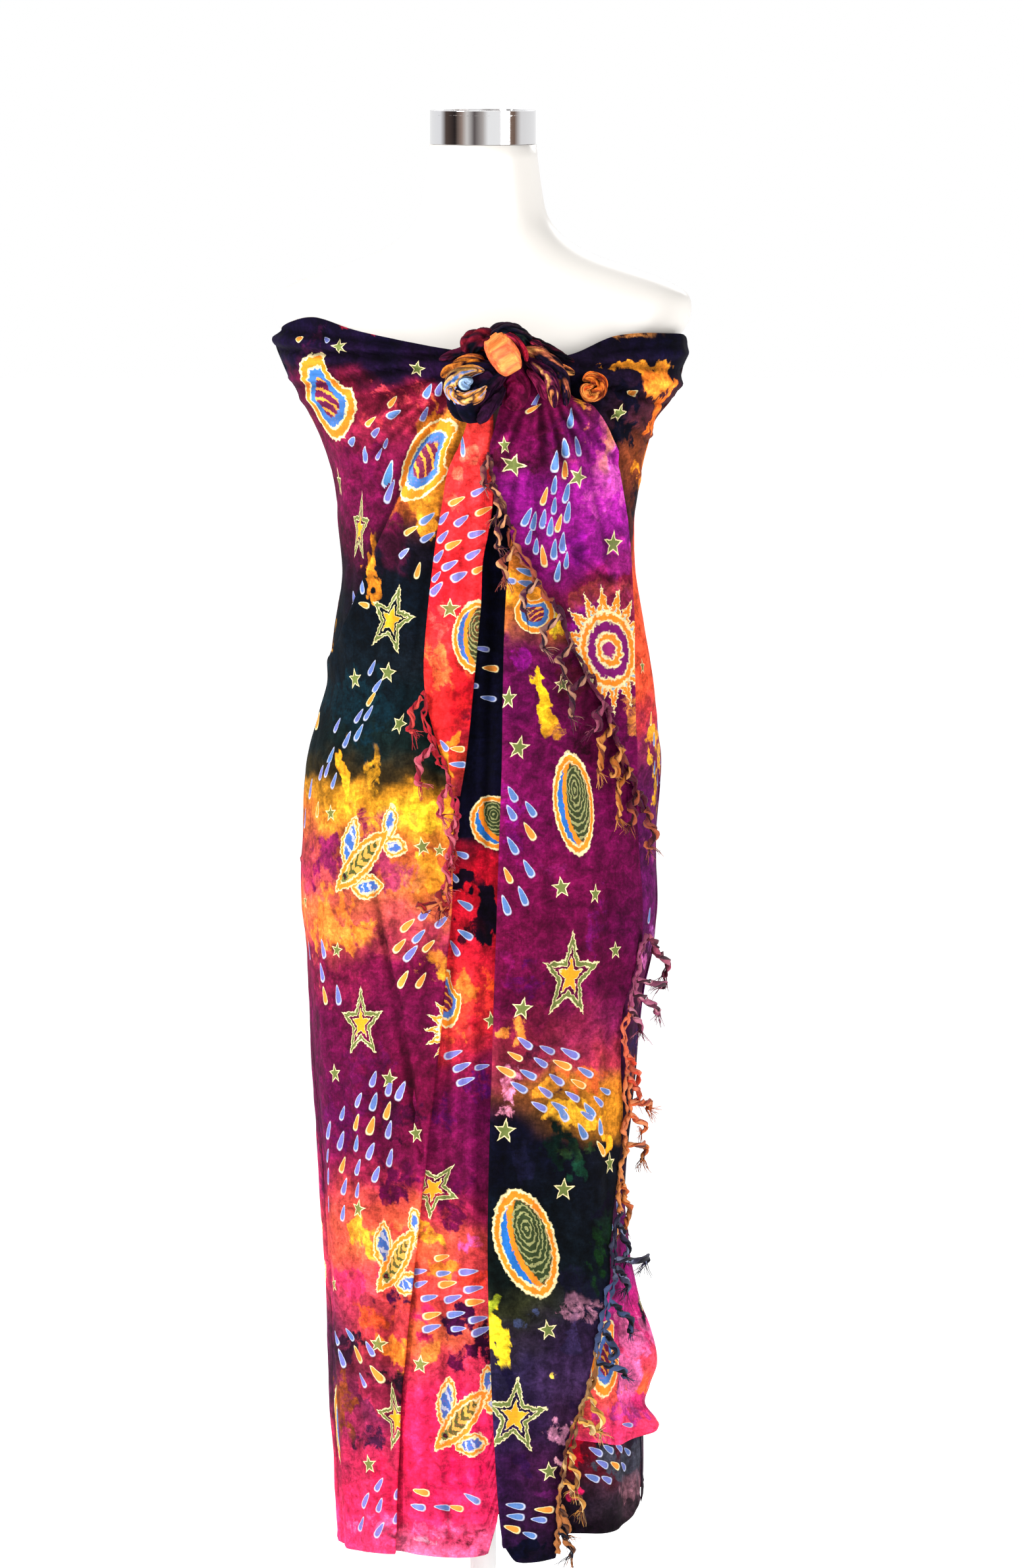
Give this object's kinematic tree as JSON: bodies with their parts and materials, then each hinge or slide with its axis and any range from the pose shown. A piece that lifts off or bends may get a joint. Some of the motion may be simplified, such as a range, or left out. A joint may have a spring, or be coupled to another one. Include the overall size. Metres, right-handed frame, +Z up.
{
  "type": "sarong on a dress form",
  "caption": "Fringed batik sarong wound round a limbless dress form and knotted at the bust, on a pole with a round base.",
  "frame": {"origin": "centre of the underside of the round base, on the floor", "axes": "+Z up, -Y towards the front of the garment, +X to the viewer's right seen from the front"},
  "size_m": [0.39, 0.3466, 1.5233],
  "materials": {
    "painted_steel": "satin white",
    "form_shell": "smooth, slightly glossy",
    "chrome": "mirror",
    "cloth_back": "thin woven rayon, dyed plum and navy",
    "cloth_lower": "thin woven rayon, dyed dark grey navy",
    "cloth_left": "thin woven rayon, dyed plum, orange and navy",
    "cloth_right_side": "thin woven rayon, dyed coral, purple and pink",
    "cloth_middle": "thin woven rayon, dyed navy, red and pink",
    "cloth_right_front": "thin woven rayon, dyed plum and navy",
    "tail_left": "thin woven rayon, dyed red",
    "tail_right": "thin woven rayon, dyed violet",
    "knot": "gathered rayon, dyed navy",
    "knot_band": "rayon, dyed orange",
    "fringe": "twisted rayon yarn in the cloth's own dyes"
  },
  "bodies": {
    "root": {"form_base": "painted_steel", "form_pole": "painted_steel", "form_torso": "form_shell", "form_neck_cap": "chrome", "cloth_back_right": "cloth_back", "cloth_back_left": "cloth_back", "cloth_lower": "cloth_lower", "cloth_left_front": "cloth_left", "cloth_right_side": "cloth_right_side", "cloth_middle": "cloth_middle", "cloth_right_front": "cloth_right_front", "tail_left": "tail_left", "tail_right": "tail_right", "knot_core": "knot", "knot_gathers": "knot", "knot_band": "knot_band", "knot_ruffle": "knot", "knot_rosette": "knot_band", "fringe_left": "fringe", "fringe_upper": "fringe", "fringe_lower": "fringe"}
  },
  "joints": []
}
